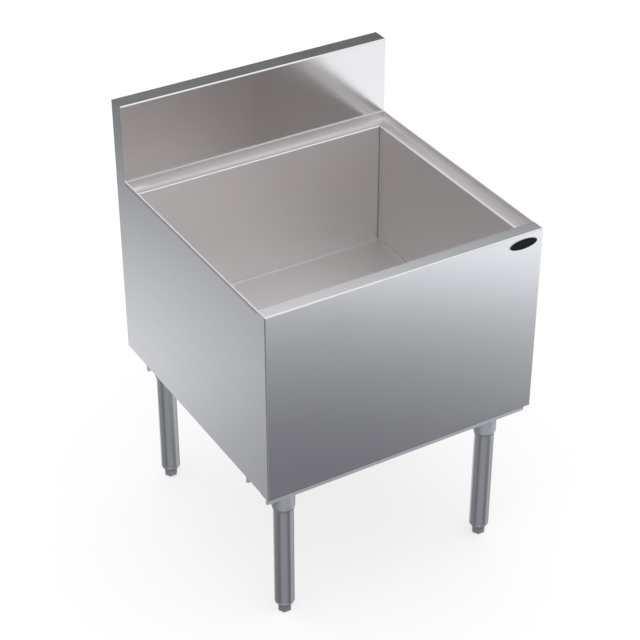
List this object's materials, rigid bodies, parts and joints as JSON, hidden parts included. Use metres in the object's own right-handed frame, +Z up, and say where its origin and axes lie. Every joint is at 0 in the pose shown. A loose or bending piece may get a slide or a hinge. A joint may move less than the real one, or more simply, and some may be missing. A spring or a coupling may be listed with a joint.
{
  "type": "underbar ice bin",
  "caption": "Free-standing stainless ice bin with an insulated coved well, recessed ledge, rolled rim, low backsplash, bottom drain and tubular legs on screw-levelled feet.",
  "frame": {"origin": "on the floor, under the centre of the body's footprint", "axes": "+X to the right, +Y to the rear, +Z up; the front panel faces -Y"},
  "size_m": [0.6096, 0.6106, 0.9305],
  "materials": {
    "satin_stainless": "satin brushed",
    "liner_stainless": "satin, fine grain",
    "galvanised_sheet": "galvanised, spangled",
    "leg_stainless": "drawn tube, satin",
    "cast_socket": "cast, bead blasted",
    "foot_stainless": "turned",
    "plated_fasteners": "zinc plated",
    "drain_metal": "plated, polished",
    "brass_fitting": "as cast and turned",
    "gasket_rubber": "matte",
    "foam": "rigid foam",
    "badge_dark": "gloss, blank"
  },
  "bodies": {
    "bin": {"front_panel": "satin_stainless", "left_side_panel": "satin_stainless", "right_side_panel": "satin_stainless", "backsplash": "satin_stainless", "liner": "liner_stainless", "rear_panel": "galvanised_sheet", "rear_panel_rivets": "plated_fasteners", "bottom_pan": "galvanised_sheet", "insulation": "foam", "drain_body": "drain_metal", "drain_strainer": "drain_metal", "drain_strainer_screw": "plated_fasteners", "drain_gasket": "gasket_rubber", "drain_locknut": "brass_fitting", "drain_tailpiece": "brass_fitting", "drain_escutcheon": "drain_metal", "front_leg_channel": "galvanised_sheet", "rear_leg_channel": "galvanised_sheet", "leg_set_screws": "plated_fasteners", "socket_bolts": "plated_fasteners", "badge_plate": "badge_dark", "front_left_leg_socket": "cast_socket", "front_left_leg_tube": "leg_stainless", "front_left_foot_plug": "cast_socket", "front_right_leg_socket": "cast_socket", "front_right_leg_tube": "leg_stainless", "front_right_foot_plug": "cast_socket", "rear_left_leg_socket": "cast_socket", "rear_left_leg_tube": "leg_stainless", "rear_left_foot_plug": "cast_socket", "rear_right_leg_socket": "cast_socket", "rear_right_leg_tube": "leg_stainless", "rear_right_foot_plug": "cast_socket"},
    "front_left_levelling_foot": {"front_left_foot": "foot_stainless"},
    "front_right_levelling_foot": {"front_right_foot": "foot_stainless"},
    "rear_left_levelling_foot": {"rear_left_foot": "foot_stainless"},
    "rear_right_levelling_foot": {"rear_right_foot": "foot_stainless"}
  },
  "joints": [
    {"name": "front_left_foot_screw", "type": "slide", "parent": "bin", "child": "front_left_levelling_foot", "axis": [0, 0, -1], "range_m": [0, 0.025]},
    {"name": "front_right_foot_screw", "type": "slide", "parent": "bin", "child": "front_right_levelling_foot", "axis": [0, 0, -1], "range_m": [0, 0.025]},
    {"name": "rear_left_foot_screw", "type": "slide", "parent": "bin", "child": "rear_left_levelling_foot", "axis": [0, 0, -1], "range_m": [0, 0.025]},
    {"name": "rear_right_foot_screw", "type": "slide", "parent": "bin", "child": "rear_right_levelling_foot", "axis": [0, 0, -1], "range_m": [0, 0.025]}
  ]
}
